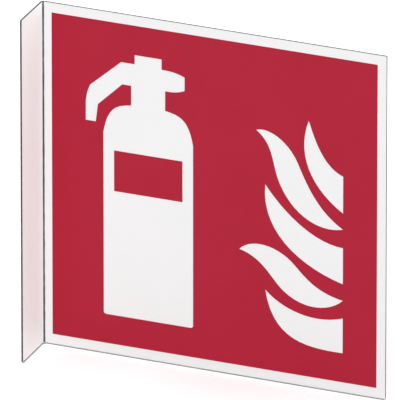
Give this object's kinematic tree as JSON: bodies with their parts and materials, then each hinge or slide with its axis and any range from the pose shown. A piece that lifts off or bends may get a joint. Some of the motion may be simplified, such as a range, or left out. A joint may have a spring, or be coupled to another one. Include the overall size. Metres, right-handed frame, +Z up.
{
  "type": "fire extinguisher sign",
  "caption": "Square wall sign of folded sheet that projects from the wall, with a white extinguisher and flames on a red field on each face.",
  "frame": {"origin": "centre of the flange's face that goes on the wall", "axes": "+X away from the wall along the panel, +Z up, and -Y out of the face that the flange is folded towards"},
  "size_m": [0.2, 0.0301, 0.2],
  "materials": {
    "white_coat": "smooth satin white coat on aluminium sheet",
    "red_print": "red printed film, satin"
  },
  "bodies": {
    "root": {"folded_panel": "white_coat", "front_print": "red_print", "back_print": "red_print"}
  },
  "joints": []
}
